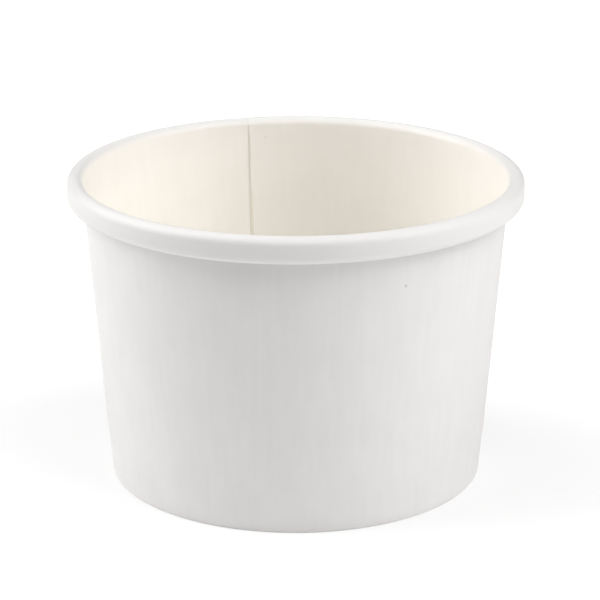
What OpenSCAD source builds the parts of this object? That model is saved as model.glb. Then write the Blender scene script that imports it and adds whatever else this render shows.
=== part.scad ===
// Round paper food container with a rolled brim and a recessed bottom.
// The side is one fan-shaped blank: wrapped into a cone and lapped on itself, rolled outward at
// the top, and folded inward at the foot round the skirt of a second, round blank.
// The origin is on the floor, in the middle of the container, with +Z up.

/* [Container] */
// Diameter across the brim
rim_d = 90; // [86:0.5:96]
// Height from the floor to the top of the brim
height = 61; // [40:0.5:90]
// Diameter of the side at the floor
base_d = 74.4; // [66:0.2:78]
// Thickness of the coated board
board_t = 0.4; // [0.3:0.05:0.5]

/* [Brim] */
// Width of the brim, from the face that food touches to its outer edge
brim_w = 3.3; // [2.9:0.1:3.8]
// Height of the brim
brim_h = 5.2; // [4.6:0.1:7]
// Space between the side's lap and the curl that turns back against it
curl_gap = 0.1; // [0.05:0.05:0.3]
// How far under the top bend the curl's cut edge stops
curl_end_drop = 0.9; // [0.5:0.1:1.2]

/* [Side seam] */
// Direction of the seam's inner cut edge, from +X towards +Y
seam_azimuth = 104; // [0:1:359]
// Width over which the blank lies on itself
lap_w = 7.5; // [4:0.5:12]

/* [Foot] */
// Height of the hollow under the bottom
recess_h = 8; // [5:0.5:12]
// How far under the bottom the folded-in hem stops
hem_drop = 1.4; // [1.2:0.1:2.5]
// Outer radius of the hem's two corners on the floor
fold_r = 0.4; // [0.3:0.05:0.5]
// Outer radius where the bottom bends down into its skirt
shoulder_r = 1.2; // [0.8:0.1:1.4]
// Film of sealed coating on each side of the skirt
seal_gap = 0.05; // [0.03:0.01:0.1]

/* [Hidden] */

// Segments in a turn about the container's axis, in a bend of the board and in a hem's corner
turn_fn = 180;
bend_steps = 16;
corner_steps = 5;
board_white = [0.91, 0.90, 0.885];
board_cream = [0.93, 0.905, 0.85];

// Thickness where the blank lies on itself
lap_t = 2 * board_t;
rim_r = rim_d / 2;
base_r = base_d / 2;

// The brim's top bend is a half circle, and the side's outer face is tangent to its inside
top_r = brim_w / 2;
top_x = rim_r - top_r;
top_z = height - top_r;
taper = atan2(top_x - base_r, top_z) - asin((top_r - board_t) / norm([top_x - base_r, top_z]));

// The side's own axes: u runs out from the face that food touches, v runs up along the side
function side_point(u, v) = [
    base_r + (u - board_t) * cos(taper) + v * sin(taper),
    v * cos(taper) - (u - board_t) * sin(taper)
];
function v_at(u, z) = (z + (u - board_t) * sin(taper)) / cos(taper);
top_v = v_at(top_r, top_z);

// The brim's lower bend turns back clear of both layers of the lap
curl_u = lap_t + curl_gap;
low_r = ((rim_r - base_r) * cos(taper) - (height - brim_h) * sin(taper) - (curl_u - board_t))
    / (1 + cos(taper) + sin(taper));
low_x = rim_r - low_r;
low_z = height - brim_h + low_r;
curl_end_v = v_at(curl_u, top_z - curl_end_drop);

// The fold at the foot holds the skirt, which clears the two layers of the lap
pocket_w = board_t + 2 * seal_gap;
hem_v = v_at(0, recess_h - hem_drop);
skirt_foot_v = v_at(0, lap_t + seal_gap);
shoulder_u = -seal_gap - shoulder_r;
shoulder_v = v_at(shoulder_u, recess_h + board_t - shoulder_r);

// Neighbouring stretches of the wrap run this many degrees into each other
weld = 0.2;

// The outer layer of the lap leaves the round in a flat until it clears the inner layer's edge
seam_r = side_point(0, top_v).x;
lap_angle = lap_w / seam_r * 180 / PI;
ramp_angle = acos((seam_r + board_t) / (seam_r + lap_t)) - weld;
ramp_start = seam_azimuth + ramp_angle;
lap_end = seam_azimuth - lap_angle;
ramp_reach = (rim_r + lap_t) * tan(ramp_angle + weld);

// The flat's two ends are sunk this far into the doubled hem and brim
ramp_sink = 0.2;
curl_v = top_v - 2 * ramp_sink;

// Points along a bend
function arc(centre, r, from, to, steps) = [
    for (i = [0 : steps])
        let (a = from + (to - from) * i / steps)
            centre + r * [cos(a), sin(a)]
];

// The brim, from the side's outer face: inside of the roll, cut edge, outside of the roll
function curl_outline(t) =
    concat(
        arc([top_x, top_z], top_r - t, 180 - taper, 0, bend_steps),
        arc([low_x, low_z], low_r - t, 0, -180 - taper, bend_steps),
        [side_point(curl_u + t, curl_end_v), side_point(curl_u, curl_end_v)],
        arc([low_x, low_z], low_r, -180 - taper, 0, bend_steps),
        arc([top_x, top_z], top_r, 0, 180 - taper, bend_steps)
    );

// The hem, from the side's inner face: down into the pocket, over the cut edge, round the foot
function hem_outline(t) =
    let (
        flap_u = -pocket_w - t,
        flap_corner = side_point(flap_u + fold_r, v_at(flap_u + fold_r, fold_r)),
        side_corner = side_point(t - fold_r, v_at(t - fold_r, fold_r))
    )
    concat(
        [
            side_point(0, hem_v),
            side_point(0, v_at(0, t)),
            side_point(-pocket_w, v_at(-pocket_w, t)),
            side_point(-pocket_w, hem_v),
            side_point(flap_u, hem_v)
        ],
        arc(flap_corner, fold_r, 180 - taper, 270, corner_steps),
        arc(side_corner, fold_r, 270, 360 - taper, corner_steps),
        [side_point(t, hem_v)]
    );

// Turns an outline about the container's axis between two directions
module wrap(from, to, outline) {
    rotate_extrude(start = from, angle = to - from, $fn = turn_fn)
        polygon(outline);
}

// Board that runs on straight from the round at ramp_start, between two depths and two heights
module straight_run(from_u, to_u, from_v, to_v) {
    rotate([90, 0, ramp_start])
        linear_extrude(ramp_reach)
            polygon([
                side_point(from_u, from_v),
                side_point(to_u, from_v),
                side_point(to_u, to_v),
                side_point(from_u, to_v)
            ]);
}

// The flat that lifts the outer layer of the lap over the inner layer's cut edge. The doubled
// hem is dressed down to it.
module seam_ramp() {
    reach = rim_r + lap_t;
    intersection() {
        straight_run(0, board_t, hem_v - ramp_sink, curl_v + ramp_sink);
        wrap(seam_azimuth - weld, ramp_start, [[0, 0], [reach, 0], [reach, height], [0, height]]);
    }
    intersection() {
        straight_run(-hem_v, board_t, -hem_v, 2 * hem_v);
        wrap(seam_azimuth - weld, ramp_start, hem_outline(lap_t));
    }
    wrap(seam_azimuth - weld, ramp_start, concat(
        [side_point(lap_t, curl_v)],
        curl_outline(lap_t),
        [side_point(0, curl_v)]
    ));
}

module side_wall() {
    color(board_white)
        union() {
            wrap(ramp_start - weld, lap_end + weld + 360,
                concat(hem_outline(board_t), curl_outline(board_t)));
            wrap(lap_end, seam_azimuth, concat(hem_outline(lap_t), curl_outline(lap_t)));
            seam_ramp();
        }
}

// The round blank: flat under the food, then bent down into the skirt that the hem holds
module bottom() {
    shoulder = side_point(shoulder_u, shoulder_v);
    color(board_cream)
        wrap(0, 360, concat(
            [[0, recess_h], [shoulder.x, recess_h]],
            arc(shoulder, shoulder_r - board_t, 90, -taper, bend_steps),
            [
                side_point(-seal_gap - board_t, skirt_foot_v),
                side_point(-seal_gap, skirt_foot_v)
            ],
            arc(shoulder, shoulder_r, -taper, 90, bend_steps),
            [[0, recess_h + board_t]]
        ));
}

side_wall();
bottom();
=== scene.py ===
"""A white paper food container on a white studio floor, dressed around its CAD frame.

The side is built as the real blank is: one sheet of board with its own thickness, wrapped once
round and lapped on itself, rolled outward into the brim and folded inward into the hem. The
bottom is a second blank, drawn down into a pleated skirt that the hem holds.

Lengths are in metres, and azimuths in degrees from +X towards +Y.
"""

import math

import bpy
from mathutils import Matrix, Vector, noise


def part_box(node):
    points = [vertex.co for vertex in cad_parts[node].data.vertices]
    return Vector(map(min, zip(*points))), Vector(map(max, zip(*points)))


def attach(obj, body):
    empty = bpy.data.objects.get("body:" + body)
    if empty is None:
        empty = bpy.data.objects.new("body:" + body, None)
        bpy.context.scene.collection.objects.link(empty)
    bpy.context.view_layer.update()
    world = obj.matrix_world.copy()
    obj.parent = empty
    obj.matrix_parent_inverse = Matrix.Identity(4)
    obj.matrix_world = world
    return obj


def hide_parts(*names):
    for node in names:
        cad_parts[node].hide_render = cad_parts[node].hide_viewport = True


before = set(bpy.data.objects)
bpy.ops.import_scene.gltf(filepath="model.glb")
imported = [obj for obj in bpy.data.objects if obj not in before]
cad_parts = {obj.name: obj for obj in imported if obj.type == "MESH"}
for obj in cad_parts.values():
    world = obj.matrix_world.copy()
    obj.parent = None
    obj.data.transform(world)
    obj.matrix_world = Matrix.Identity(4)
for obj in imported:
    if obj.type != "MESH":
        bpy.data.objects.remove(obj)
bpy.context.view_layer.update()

MM = 0.001

# The container, from the frame's box and the sizes that the construction uses
SIDE_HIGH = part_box("side_wall")[1]
HEIGHT = SIDE_HIGH[2]
RIM_R = SIDE_HIGH[0]
BASE_R = 37.2 * MM
BOARD = 0.4 * MM
BRIM_W = 3.3 * MM
BRIM_H = 5.2 * MM
CURL_CLEAR = 0.12 * MM
CURL_END_DROP = 0.9 * MM
RECESS = 8.0 * MM
HEM_DROP = 1.4 * MM
SEAL_GAP = 0.05 * MM
SHOULDER_R = 1.2 * MM
FOLD_R = 0.05 * MM

# The hem is crimped: the side is pressed in this far below the bottom
CRIMP = 0.14 * MM
CRIMP_TOP = 8.9 * MM
CRIMP_SOFT = 0.8 * MM

# Pleats round the bottom's skirt and the hem, where the board is gathered. The skirt's reach
# their full depth this far under the bottom.
PLEATS = 72
PLEAT = 0.04 * MM
PLEAT_SOFT = 3 * SHOULDER_R

# How far the formed board is out of true: the side's slow waves and its streaks, and the brim,
# whose lower edge waves up and down by this many times as much
SLOW_WAVE = 0.10 * MM
STREAK = 0.016 * MM
BRIM_WAVE = 0.10 * MM
SAG_SHARE = 1.5

# Waves around the part and along its height, and a seed, for each kind of unevenness. All but
# the sag are shifted inward by a share of their depth.
SLOW_WAVES = (9, 1.6, 3.1)
STREAK_WAVES = (60, 0.5, 7.7)
DENT_WAVES = (7, 0, 1.3)
SAG_WAVES = (11, 0, 5.2)
INWARD = 0.5

# Lengths over which the unevenness fades: above the crimp, towards the brim's outer face, up into
# the brim from a little below it, and outward across the brim for its dents and for its sag
WALL_FADE = 6 * MM
RIM_FADE = 1.2 * MM
BRIM_LEAD = 1.0 * MM
BRIM_FADE = 2 * MM
DENT_FADE = 1.5 * MM
SAG_FADE = 1 * MM

# The seam: its azimuth, and the angles of the lap before it and of the ramp after it
SEAM_AZIMUTH = 104.0
LAP_ANGLE = 10.3
RAMP_ANGLE = 8.1
LAYER_GAP = 0.02 * MM

# The lap is squeezed towards the blank's inner edge, so that the edge stands up only this much
# from the layer under it; the edge itself is pressed thin over so many degrees, by so much.
# The pairs are for the side and for the brim.
STEP = (0.14 * MM, 0.12 * MM)
PRESS_ANGLE = (0.55, 2.4)
PRESSED = (0.04 * MM, 0.09 * MM)
SQUEEZE_ANGLE = 2.5

# The outer cut edge is pressed thin from behind by this much
OUTER_PRESSED = 0.5 * BOARD

# Low on the side a pressed edge is wider, by so many degrees; it widens under this height
PRESS_WIDER = 0.45
WIDER_UNDER = 48.0 * MM
WIDER_SOFT = 4.0 * MM

# The fibre shows over this share of a pressed edge, up to this share of the way into the brim.
# On the food side it is burnished away above this height.
FIBRE_SHARE = 0.95
BARE_BRIM = 0.2
BARE_UNDER = 59.2 * MM

# The side's edges pass into the brim's from this radius, over this length
BRIM_FROM = 41.8 * MM
BRIM_SOFT = 1.2 * MM

# The hem keeps the full thickness of the two layers up to the first height, and hands over to
# the squeezed lap within the second
FOOT_FULL = 1.5 * MM
FOOT_SOFT = 6.0 * MM

# The fold and the curl widen for the lap over so many degrees before its outer cut edge
LAP_SWELL = 5.0

# Steps along the side's section: its flap, each of the two folds, the side, the top bend, the
# band, the lower bend and the tuck inside the roll. The side begins at the last number's row.
FLAP_ROWS = 6
FOLD_STEPS = 4
WALL_STEPS = 44
TOP_STEPS = 20
BAND_STEPS = 3
LOW_STEPS = 18
TUCK_STEPS = 3
WALL_ROW = FLAP_ROWS + 2 * (FOLD_STEPS + 1)

# Degrees between the side's columns: at the inner cut edge, near either cut edge, beside the
# seam, over the lap and its ramp, and elsewhere. Then how far each of the first four reaches,
# the lap's beyond its ramp, and the least gap left before the inner cut edge.
EDGE_SPACING = 0.12
NEAR_SPACING = 0.3
SEAM_SPACING = 0.35
LAP_SPACING = 0.7
ROUND_SPACING = 1.1
EDGE_REACH = 1.4
NEAR_INNER_REACH = 3
NEAR_OUTER_REACH = 1.2
SEAM_REACH = 0.7
LAP_MARGIN = 1
LEAST_SPACING = 0.05

# The bottom's mesh: columns round it, rings of its flat as shares of the flat's radius, and steps
# round its shoulder and down its skirt
BOTTOM_COLUMNS = 360
BOTTOM_RINGS = (0.05, 0.12, 0.2, 0.3, 0.4, 0.5, 0.6, 0.7, 0.8, 0.88, 0.94, 0.98)
SHOULDER_STEPS = 12
SKIRT_STEPS = 8

# Faces that meet at more than this angle are shaded with a sharp edge
SHARP_ANGLE = 40

# Colours of the food side's film, the outer coating and the bare fibre of a cut edge, each with
# the darker tone of its mottle
FILM = (0.92, 0.891, 0.842)
FILM_DARK = (0.89, 0.858, 0.802)
COAT = (0.842, 0.825, 0.811)
COAT_DARK = (0.80, 0.784, 0.772)
FIBRE = (0.86, 0.82, 0.745)
FIBRE_DARK = (0.81, 0.765, 0.685)

# Painted light on the brim, which is the same film as the food side: a painted shade that makes the
# brim darker and greyer, and a painted highlight that makes its lower bend lighter.
# Then the radii between which the film's colour passes into them, and the height under which the
# painted shade passes into the painted highlight, over a length
BRIM_PAINTED_SHADE = (0.80, 0.787, 0.773)
BEND_PAINTED_HIGHLIGHT = (0.92, 0.905, 0.89)
BRIM_COLOUR_FROM = 41.65 * MM
BRIM_COLOUR_FULL = 42.3 * MM
BEND_BELOW = 57.3 * MM
BEND_BLEND = 0.9 * MM

# Specks of bark in the pulp: place, radius and how much of their colour shows. Each shows it in
# full within this share of its radius.
SPECK_COLOUR = (0.56, 0.525, 0.49)
OUTER_SPECKS = (((0.0205, -0.0359, 0.0491), 0.00042, 1.0),)
INNER_SPECKS = (((-0.00655, 0.0410, 0.0570), 0.00035, 0.2),)
SPECK_CORE = 0.45

# Finish: gloss, roughness with its spread, how strongly the fibre shows and how high it stands
GLOSS = 0.35
FILM_ROUGH = 0.42
COAT_ROUGH = 0.5
EDGE_ROUGH = 0.9
ROUGH_SPREAD = 0.05
FILM_FIBRE = 0.3
COAT_FIBRE = 0.35
EDGE_FIBRE = 1.0
FIBRE_RELIEF = 0.02 * MM

# Noise in the board: waves in a metre, detail and, for the grain, its stretch up the side. Only
# the part of the noise's range between the two levels counts.
MOTTLE = (130, 3)
GRAIN = (700, 3, (1, 1, 0.1))
FELT = (2600, 2)
NOISE_ROUGHNESS = 0.55
NOISE_LEVELS = (0.3, 0.7)

# The mix node's two colours and its result, by socket number
MIX_FIRST = 6
MIX_SECOND = 7
MIX_RESULT = 2

# The floor lies just under the foot. Light bounces off it with the first colour. The camera sees
# the second, and a glow that rises to plain white between these distances from the middle.
FLOOR_SIZE = 6.0
FLOOR_DROP = 0.05 * MM
FLOOR_COLOUR = (0.78, 0.78, 0.78)
FLOOR_SEEN = (0.35, 0.35, 0.35)
FLOOR_LIFT = 0.62
SWEEP_FROM = 0.04
SWEEP_TO = 0.18

# How brightly the surroundings shine on the part; the camera sees them plain white
WORLD_LIGHT = 0.02

# Square lamps: place, size and power. All face the one point.
LAMPS = {
    "left_softbox": ((-0.993, 0.087, 0.495), 0.9, 5.2),
    "left_high_softbox": ((-0.775, 0.068, 0.808), 1.1, 9.45),
    "right_softbox": ((0.847, -0.308, 0.661), 1.1, 9.7),
    "right_high_softbox": ((0.517, -0.362, 0.931), 0.9, 4.05),
}
LAMP_TARGET = Vector((0, 0, 0.03))

# The camera of the photograph; its lens and sensor are in millimetres
CAMERA_AT = Vector((0.83, -487.4, 198.2)) * MM
CAMERA_PITCH = 18.58
CAMERA_LENS = 154.56
CAMERA_NEAR = 0.01
SENSOR = 36.0

# Derived values
TOP_R = BRIM_W / 2
TOP_X = RIM_R - TOP_R
TOP_Z = HEIGHT - TOP_R
TAPER = (math.atan2(TOP_X - BASE_R, TOP_Z)
         - math.asin((TOP_R - BOARD) / math.hypot(TOP_X - BASE_R, TOP_Z)))
SIN_T = math.sin(TAPER)
COS_T = math.cos(TAPER)
POCKET_W = BOARD + 2 * SEAL_GAP
LAYER = BOARD + LAYER_GAP
OUTER_EDGE = SEAM_AZIMUTH - LAP_ANGLE
INNER_EDGE = SEAM_AZIMUTH + 360
RAMP_END = SEAM_AZIMUTH + RAMP_ANGLE


def side_point(u, v):
    """A point of the section, u out from the face that food touches and v up along the side."""
    return (BASE_R + (u - BOARD) * COS_T + v * SIN_T, v * COS_T - (u - BOARD) * SIN_T)


def v_at(u, z):
    """How far up the side a height is."""
    return (z + (u - BOARD) * SIN_T) / COS_T


def smooth(x):
    """Rises from 0 to 1 as x does, with flat ends."""
    x = min(max(x, 0.0), 1.0)
    return x * x * (3 - 2 * x)


def blend(pair, share):
    """The value at a share of the way from the first of a pair to the second."""
    return pair[0] * (1 - share) + pair[1] * share


def turned(x, z, azimuth):
    """A point of the section, turned to an azimuth."""
    a = math.radians(azimuth)
    return (x * math.cos(a), x * math.sin(a), z)


def run(start, end, normal, steps):
    """Samples of a straight stretch: (x, z, normal x, normal z), without its last point."""
    return [(start[0] + (end[0] - start[0]) * i / steps,
             start[1] + (end[1] - start[1]) * i / steps, *normal) for i in range(steps)]


def bend(centre, radius, start, end, side, steps):
    """Samples of a bend between two angles; side is 1 if the board lies outside it, else -1."""
    samples = []
    for i in range(steps + 1):
        a = start + (end - start) * i / steps
        c, s = math.cos(a), math.sin(a)
        samples.append((centre[0] + radius * c, centre[1] + radius * s, side * c, side * s))
    return samples


def crimp(z):
    """How far in the foot is pressed at a height."""
    return CRIMP * smooth((CRIMP_TOP - z) / CRIMP_SOFT)


def gathered(azimuth):
    """The pleats' wave at an azimuth, from 0 to 1."""
    return 0.5 - 0.5 * math.cos(math.radians(azimuth * PLEATS))


def on_brim(x, z):
    """0 on the side and the foot, 1 on the brim."""
    return smooth((x - BRIM_FROM) / BRIM_SOFT) if z > HEIGHT - 2 * BRIM_H else 0.0


def side_section(stack):
    """The food side of the side blank in section, from the hem's cut edge to the curl's.

    stack is how thick the board is there, from one layer to two in the lap. Each sample is a
    point and the direction from it into the board.
    """
    out = (COS_T, -SIN_T)
    back = (-COS_T, SIN_T)
    hem_v = v_at(0, RECESS - HEM_DROP)
    fold_z = stack + FOLD_R
    flap_u = -POCKET_W
    flap_start = side_point(flap_u, hem_v)
    flap_end = side_point(flap_u, v_at(flap_u, fold_z))
    flap_centre = side_point(flap_u + FOLD_R, v_at(flap_u + FOLD_R, fold_z))
    side_centre = side_point(-FOLD_R, v_at(-FOLD_R, fold_z))
    low_r = ((RIM_R - BASE_R) * COS_T - (HEIGHT - BRIM_H) * SIN_T
             - (stack - BOARD) - CURL_CLEAR) / (1 + COS_T + SIN_T)
    low = (RIM_R - low_r, HEIGHT - BRIM_H + low_r)
    curl_u = stack + CURL_CLEAR
    top = (TOP_X, TOP_Z)
    side_start = side_point(0, v_at(-FOLD_R, fold_z))
    side_end = side_point(0, v_at(TOP_R, TOP_Z))
    tuck_start = side_point(curl_u, v_at(curl_u + low_r, low[1]))
    tuck_end = side_point(curl_u, v_at(curl_u, TOP_Z - CURL_END_DROP))
    pi = math.pi
    samples = run(flap_start, flap_end, back, FLAP_ROWS)
    samples += bend(flap_centre, FOLD_R, pi - TAPER, 1.5 * pi, 1, FOLD_STEPS)
    samples += bend(side_centre, FOLD_R, 1.5 * pi, 2 * pi - TAPER, 1, FOLD_STEPS)
    samples += run(side_start, side_end, out, WALL_STEPS)[1:]
    samples += bend(top, TOP_R, pi - TAPER, 0, -1, TOP_STEPS)
    samples += run((RIM_R, TOP_Z), (RIM_R, low[1]), (-1, 0), BAND_STEPS)[1:]
    samples += bend(low, low_r, 0, -pi - TAPER, -1, LOW_STEPS)
    samples += run(tuck_start, tuck_end, out, TUCK_STEPS)[1:]
    samples.append((*tuck_end, *out))
    return [(x - crimp(z), z, nx, nz) for x, z, nx, nz in samples]


def uneven(azimuth, z, around, along, seed):
    """A smooth unevenness between -1 and 1, with so many waves around and along the part."""
    a = math.radians(azimuth)
    at = (math.cos(a) * around / math.tau, math.sin(a) * around / math.tau, z / HEIGHT * along)
    return noise.noise(Vector(at) + Vector((seed, seed, seed)))


def formed(x, z, azimuth):
    """A point of the side as the forming tools left it, a little out of true.

    The brim's outer face is only dented inward, so that it keeps within the rim's radius.
    """
    wall = smooth((z - CRIMP_TOP) / WALL_FADE) * smooth((RIM_R - x) / RIM_FADE)
    slow = SLOW_WAVE * (uneven(azimuth, z, *SLOW_WAVES) - INWARD)
    streak = STREAK * (uneven(azimuth, z, *STREAK_WAVES) - INWARD)
    x += wall * (slow + streak)
    above = smooth((z - HEIGHT + BRIM_H + BRIM_LEAD) / BRIM_FADE)
    dent = min(uneven(azimuth, 0, *DENT_WAVES) - INWARD, 0)
    x += above * smooth((x - TOP_X) / DENT_FADE) * BRIM_WAVE * dent
    low = above * smooth((HEIGHT - z) / BRIM_H) * smooth((x - TOP_X + TOP_R) / SAG_FADE)
    z += low * BRIM_WAVE * SAG_SHARE * uneven(azimuth, 0, *SAG_WAVES)
    return x, z


def sheet_mesh(name, columns, slots, bare=None, closed=False):
    """A closed mesh of a sheet: each column is a list of (food side point, back point).

    slots are the materials of the food side, the back and the cut edges. bare marks, for each
    point of each side, where an edge is pressed so thin that its fibre shows. With closed, the
    columns run outward from the sheet's middle and the last joins the first.
    """
    verts = [point for column in columns for pair in column for point in pair]
    rows = len(columns[0])
    count = len(columns)

    def at(i, j, side):
        return 2 * ((i % count) * rows + j) + side

    faces = []
    marks = []
    for i in range(count if closed else count - 1):
        for j in range(rows - 1):
            for side in (0, 1):
                quad = (at(i, j, side), at(i, j + 1, side), at(i + 1, j + 1, side), at(i + 1, j, side))
                faces.append(quad if side == 0 else quad[::-1])
                shown = bare and bare[i][j][side] and bare[i + 1][j + 1][side]
                marks.append(slots[2] if shown else slots[side])
        for j in (rows - 1,) if closed else (0, rows - 1):
            strip = (at(i, j, 0), at(i + 1, j, 0), at(i + 1, j, 1), at(i, j, 1))
            faces.append(strip if j == 0 else strip[::-1])
            marks.append(slots[2])
    if closed:
        # The sheet's middle: a fan to a hub on each side takes the place of the first row's strip
        for side in (0, 1):
            hub = len(verts)
            verts.append((0, 0, columns[0][0][side][2]))
            for i in range(count):
                fan = (at(i, 0, side), at(i + 1, 0, side), hub)
                faces.append(fan if side == 0 else fan[::-1])
                marks.append(slots[side])
    for i in () if closed else (0, count - 1):
        for j in range(rows - 1):
            strip = (at(i, j, 0), at(i, j, 1), at(i, j + 1, 1), at(i, j + 1, 0))
            faces.append(strip if i == 0 else strip[::-1])
            marks.append(slots[2])
    mesh = bpy.data.meshes.new(name)
    mesh.from_pydata(verts, [], faces)
    mesh.polygons.foreach_set("material_index", marks)
    mesh.polygons.foreach_set("use_smooth", [True] * len(faces))
    mesh.set_sharp_from_angle(angle=math.radians(SHARP_ANGLE))
    mesh.update()
    return mesh


def seam_columns():
    """Azimuths of the side blank's columns, from the outer cut edge once round to the inner."""
    azimuths = []
    a = OUTER_EDGE
    while a < INNER_EDGE - LEAST_SPACING:
        azimuths.append(a)
        to_inner = INNER_EDGE - a
        from_outer = a - OUTER_EDGE
        if to_inner < EDGE_REACH:
            a += EDGE_SPACING
        elif to_inner < NEAR_INNER_REACH or from_outer < NEAR_OUTER_REACH:
            a += NEAR_SPACING
        elif abs(a - SEAM_AZIMUTH) < SEAM_REACH:
            a += SEAM_SPACING
        elif from_outer < LAP_ANGLE + RAMP_ANGLE + LAP_MARGIN:
            a += LAP_SPACING
        else:
            a += ROUND_SPACING
    azimuths.append(INNER_EDGE)
    return azimuths


def stack_at(azimuth):
    """How much board is stacked at an azimuth, from one layer to the lap's two."""
    if azimuth <= SEAM_AZIMUTH:
        return BOARD + LAYER
    if azimuth < RAMP_END:
        return BOARD + LAYER * ((RAMP_END - azimuth) / RAMP_ANGLE) ** 2
    return BOARD + LAYER * smooth(1 - (OUTER_EDGE + 360 - azimuth) / LAP_SWELL)


def layer_depth(azimuth, step):
    """How far the blank lies behind the food side, where its inner edge stands up by step."""
    if azimuth <= SEAM_AZIMUTH:
        return LAYER - (LAYER - step) * smooth(1 - (SEAM_AZIMUTH - azimuth) / SQUEEZE_ANGLE)
    return step * (max(RAMP_END - azimuth, 0) / RAMP_ANGLE) ** 2


def side_blank():
    """The whole side blank, wrapped, lapped, curled and hemmed."""
    columns = []
    bare = []
    for azimuth in seam_columns():
        to_inner = INNER_EDGE - azimuth
        from_outer = azimuth - OUTER_EDGE
        stack = stack_at(azimuth)
        doubled = stack - BOARD if azimuth < RAMP_END else 0.0
        column = []
        marks = []
        for row, (x, z, nx, nz) in enumerate(side_section(stack)):
            brim = on_brim(x, z)
            step = blend(STEP, brim)
            wider = PRESS_WIDER * smooth((WIDER_UNDER - z) / WIDER_SOFT)
            angle = blend(PRESS_ANGLE, brim) + wider
            foot = 1 - smooth((z - FOOT_FULL) / FOOT_SOFT) if row >= WALL_ROW else 1.0
            depth = blend((layer_depth(azimuth, step), doubled), foot)
            squeezed = (LAYER - step) * smooth(1 - to_inner / SQUEEZE_ANGLE) * (1 - foot)
            shallow = depth + blend(PRESSED, brim) * smooth(1 - to_inner / angle)
            deep = depth + BOARD - squeezed - OUTER_PRESSED * smooth(1 - from_outer / angle)
            x, z = formed(x, z, azimuth)
            if row < FLAP_ROWS:
                x -= PLEAT * gathered(azimuth) * (1 - row / FLAP_ROWS)
            column.append((turned(x + shallow * nx, z + shallow * nz, azimuth),
                           turned(x + deep * nx, z + deep * nz, azimuth)))
            marks.append((to_inner < FIBRE_SHARE * angle and z < BARE_UNDER and brim < BARE_BRIM,
                          from_outer < FIBRE_SHARE * angle and brim < BARE_BRIM))
        columns.append(column)
        bare.append(marks)
    return sheet_mesh("side_blank", columns, (0, 1, 2), bare)


def bottom_blank():
    """The round blank: a flat, a bend and a pleated skirt, crimped with the side."""
    inward = (-COS_T, SIN_T)
    shoulder_u = -SEAL_GAP - SHOULDER_R
    shoulder_v = v_at(shoulder_u, RECESS + BOARD - SHOULDER_R)
    centre = side_point(shoulder_u, shoulder_v)
    foot = side_point(-SEAL_GAP, v_at(0, 2 * BOARD + SEAL_GAP))
    samples = [(share * centre[0], RECESS + BOARD, 0, -1) for share in BOTTOM_RINGS]
    samples += bend(centre, SHOULDER_R, math.pi / 2, -TAPER, -1, SHOULDER_STEPS)
    samples += run(samples[-1][:2], foot, inward, SKIRT_STEPS)[1:]
    samples.append((*foot, *inward))
    columns = []
    for i in range(BOTTOM_COLUMNS):
        azimuth = 360.0 * i / BOTTOM_COLUMNS
        column = []
        for x, z, nx, nz in samples:
            down = smooth((RECESS + BOARD - z) / PLEAT_SOFT)
            shallow = PLEAT * down * gathered(azimuth)
            deep = shallow + BOARD
            x -= crimp(z + SHOULDER_R)
            column.append((turned(x + shallow * nx, z + shallow * nz, azimuth),
                           turned(x + deep * nx, z + deep * nz, azimuth)))
        columns.append(column)
    return sheet_mesh("bottom_blank", columns, (0, 0, 1), closed=True)


def node_tree(name):
    """A new material and its empty node tree."""
    material = bpy.data.materials.new(name)
    material.use_nodes = True
    tree = material.node_tree
    tree.nodes.clear()
    return material, tree


def add(tree, kind, **values):
    """A shader node. A keyword names an input, with _ for a space, or else a property."""
    node = tree.nodes.new(kind)
    for key, value in values.items():
        name = key.replace("_", " ")
        if name in node.inputs:
            node.inputs[name].default_value = value
        else:
            setattr(node, key, value)
    return node


def link(tree, source, output, target, name):
    """Joins an output of one node to an input of another."""
    tree.links.new(source.outputs[output], target.inputs[name])


def mix_colours(tree, factor, first, second):
    """A colour between two sockets or values, by a factor socket."""
    mix = add(tree, "ShaderNodeMix", data_type="RGBA")
    tree.links.new(factor, mix.inputs["Factor"])
    for value, index in ((first, MIX_FIRST), (second, MIX_SECOND)):
        if isinstance(value, tuple):
            mix.inputs[index].default_value = (*value, 1)
        else:
            tree.links.new(value, mix.inputs[index])
    return mix.outputs[MIX_RESULT]


def ranged(tree, value, low, high, to_low=0.0, to_high=1.0):
    """A socket's value, mapped from one range to another and held inside it."""
    node = add(tree, "ShaderNodeMapRange", From_Min=low, From_Max=high, To_Min=to_low, To_Max=to_high)
    tree.links.new(value, node.inputs["Value"])
    return node.outputs["Result"]


def combined(tree, operation, first, second):
    """Two sockets' sum, product or larger value."""
    node = add(tree, "ShaderNodeMath", operation=operation)
    tree.links.new(first, node.inputs[0])
    tree.links.new(second, node.inputs[1])
    return node.outputs[0]


def noise_at(tree, coords, scale, detail, stretch=(1, 1, 1)):
    """Noise over the object, stretched along its axes."""
    mapping = add(tree, "ShaderNodeMapping")
    mapping.inputs["Scale"].default_value = stretch
    link(tree, coords, "Object", mapping, "Vector")
    node = add(tree, "ShaderNodeTexNoise", Scale=scale, Detail=detail, Roughness=NOISE_ROUGHNESS)
    link(tree, mapping, "Vector", node, "Vector")
    return node.outputs["Fac"]


def specks_at(tree, coords, specks):
    """Each speck's share in a few small specks of bark in the pulp, 0 elsewhere."""
    total = None
    for place, size, share in specks:
        away = add(tree, "ShaderNodeVectorMath", operation="DISTANCE")
        link(tree, coords, "Object", away, 0)
        away.inputs[1].default_value = place
        spot = ranged(tree, away.outputs["Value"], size, size * SPECK_CORE, 0.0, share)
        total = spot if total is None else combined(tree, "MAXIMUM", total, spot)
    return total


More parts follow.
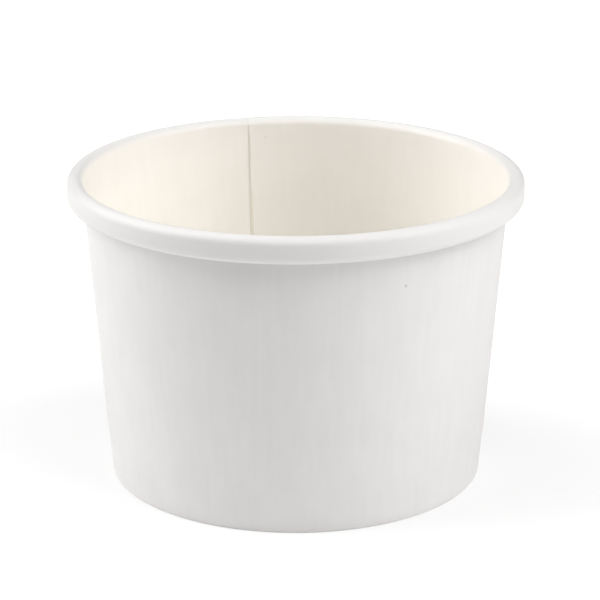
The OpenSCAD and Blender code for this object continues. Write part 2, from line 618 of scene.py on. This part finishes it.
def painted_brim_shares(tree, coords):
    """How far the colour is the brim's painted shade and how far that is the painted highlight of its
    lower bend.
    """
    apart = add(tree, "ShaderNodeSeparateXYZ")
    link(tree, coords, "Object", apart, "Vector")
    flat = add(tree, "ShaderNodeCombineXYZ")
    link(tree, apart, "X", flat, "X")
    link(tree, apart, "Y", flat, "Y")
    radius = add(tree, "ShaderNodeVectorMath", operation="LENGTH")
    link(tree, flat, "Vector", radius, 0)
    share = ranged(tree, radius.outputs["Value"], BRIM_COLOUR_FROM, BRIM_COLOUR_FULL)
    bent = ranged(tree, apart.outputs["Z"], BEND_BELOW, BEND_BELOW - BEND_BLEND)
    return share, bent


def board_material(name, colour, dark, roughness, fibre, brim=None, specks=()):
    """Coated paperboard: a slow mottle, a grain that runs up the side and a soft gloss.

    brim holds two painted colours for the brim: a painted shade, darker than the film, and a
    painted highlight on its lower bend, lighter than that shade.
    """
    material, tree = node_tree(name)
    coords = add(tree, "ShaderNodeTexCoord")
    mottle = noise_at(tree, coords, *MOTTLE)
    grain = noise_at(tree, coords, *GRAIN)
    felt = noise_at(tree, coords, *FELT)
    half_mottle = ranged(tree, mottle, *NOISE_LEVELS, 0, 0.5)
    half_grain = ranged(tree, grain, *NOISE_LEVELS, 0, 0.5)
    surface = combined(tree, "ADD", half_mottle, half_grain)
    if brim:
        # The brim gets a painted shade and its lower bend a painted highlight in place of the film's
        # colour
        share, bent = painted_brim_shares(tree, coords)
        brim_shade_and_highlight = mix_colours(tree, bent, *brim)
        colour = mix_colours(tree, share, colour, brim_shade_and_highlight)
        dark = mix_colours(tree, share, dark, brim_shade_and_highlight)
    colour = mix_colours(tree, surface, dark, colour)
    if specks:
        colour = mix_colours(tree, specks_at(tree, coords, specks), colour, SPECK_COLOUR)
    shader = add(tree, "ShaderNodeBsdfPrincipled", Specular_IOR_Level=GLOSS)
    tree.links.new(colour, shader.inputs["Base Color"])
    rough = ranged(tree, mottle, *NOISE_LEVELS, roughness - ROUGH_SPREAD, roughness + ROUGH_SPREAD)
    tree.links.new(rough, shader.inputs["Roughness"])
    bump = add(tree, "ShaderNodeBump", Strength=fibre, Distance=FIBRE_RELIEF)
    tree.links.new(combined(tree, "ADD", surface, felt), bump.inputs["Height"])
    link(tree, bump, "Normal", shader, "Normal")
    output = add(tree, "ShaderNodeOutputMaterial")
    link(tree, shader, "BSDF", output, "Surface")
    return material


def dress(mesh, materials, node):
    """Makes a piece of a mesh: its materials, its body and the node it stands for."""
    piece = bpy.data.objects.new(mesh.name, mesh)
    bpy.context.scene.collection.objects.link(piece)
    for material in materials:
        mesh.materials.append(material)
    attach(piece, "root")
    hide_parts(node)


def make_container():
    """The two blanks, each in the place of its node."""
    # The brim's painted shade and the painted highlight on its lower bend
    brim = (BRIM_PAINTED_SHADE, BEND_PAINTED_HIGHLIGHT)
    film = board_material("inner_film", FILM, FILM_DARK, FILM_ROUGH, FILM_FIBRE, brim, INNER_SPECKS)
    coat = board_material("outer_coat", COAT, COAT_DARK, COAT_ROUGH, COAT_FIBRE, None, OUTER_SPECKS)
    edge = board_material("cut_edge", FIBRE, FIBRE_DARK, EDGE_ROUGH, EDGE_FIBRE)
    dress(side_blank(), (film, coat, edge), "side_wall")
    dress(bottom_blank(), (film, edge), "bottom")


def make_floor():
    """The white sweep, which keeps the container's shadow and is plain white further out."""
    mesh = bpy.data.meshes.new("floor")
    h = FLOOR_SIZE / 2
    mesh.from_pydata([(-h, -h, 0), (h, -h, 0), (h, h, 0), (-h, h, 0)], [], [(0, 1, 2, 3)])
    floor = bpy.data.objects.new("floor", mesh)
    floor.location.z = -FLOOR_DROP
    bpy.context.scene.collection.objects.link(floor)
    material, tree = node_tree("floor_paper")
    rays = add(tree, "ShaderNodeLightPath")
    to_camera = rays.outputs["Is Camera Ray"]
    diffuse = add(tree, "ShaderNodeBsdfDiffuse")
    tree.links.new(mix_colours(tree, to_camera, FLOOR_COLOUR, FLOOR_SEEN), diffuse.inputs["Color"])
    coords = add(tree, "ShaderNodeTexCoord")
    away = add(tree, "ShaderNodeVectorMath", operation="LENGTH")
    link(tree, coords, "Object", away, 0)
    lift = ranged(tree, away.outputs["Value"], SWEEP_FROM, SWEEP_TO, FLOOR_LIFT, 1.0)
    glow = add(tree, "ShaderNodeEmission")
    tree.links.new(combined(tree, "MULTIPLY", to_camera, lift), glow.inputs["Strength"])
    both = add(tree, "ShaderNodeAddShader")
    link(tree, diffuse, 0, both, 0)
    link(tree, glow, 0, both, 1)
    output = add(tree, "ShaderNodeOutputMaterial")
    link(tree, both, 0, output, "Surface")
    mesh.materials.append(material)


def make_world():
    """Faint surroundings that the camera sees as plain white."""
    world = bpy.data.worlds.new("studio")
    bpy.context.scene.world = world
    world.use_nodes = True
    tree = world.node_tree
    tree.nodes.clear()
    rays = add(tree, "ShaderNodeLightPath")
    level = ranged(tree, rays.outputs["Is Camera Ray"], 0.0, 1.0, WORLD_LIGHT, 1.0)
    sky = add(tree, "ShaderNodeBackground", Color=(1, 1, 1, 1))
    tree.links.new(level, sky.inputs["Strength"])
    output = add(tree, "ShaderNodeOutputWorld")
    link(tree, sky, 0, output, "Surface")


def make_lamps():
    """The soft boxes, each turned to the container."""
    for name, (place, size, power) in LAMPS.items():
        light = bpy.data.lights.new(name, "AREA")
        light.shape = "SQUARE"
        light.size = size
        light.energy = power
        lamp = bpy.data.objects.new(name, light)
        lamp.location = place
        lamp.rotation_euler = (LAMP_TARGET - Vector(place)).to_track_quat("-Z", "Y").to_euler()
        bpy.context.scene.collection.objects.link(lamp)


def make_camera():
    """The camera of the photograph."""
    data = bpy.data.cameras.new("camera")
    data.sensor_width = SENSOR
    data.sensor_fit = "HORIZONTAL"
    data.lens = CAMERA_LENS
    data.clip_start = CAMERA_NEAR
    camera = bpy.data.objects.new("camera", data)
    camera.location = CAMERA_AT
    camera.rotation_euler = (math.radians(90 - CAMERA_PITCH), 0, 0)
    bpy.context.scene.collection.objects.link(camera)
    bpy.context.scene.camera = camera


make_container()
make_floor()
make_world()
make_lamps()
make_camera()
bpy.context.scene.view_settings.view_transform = "Standard"
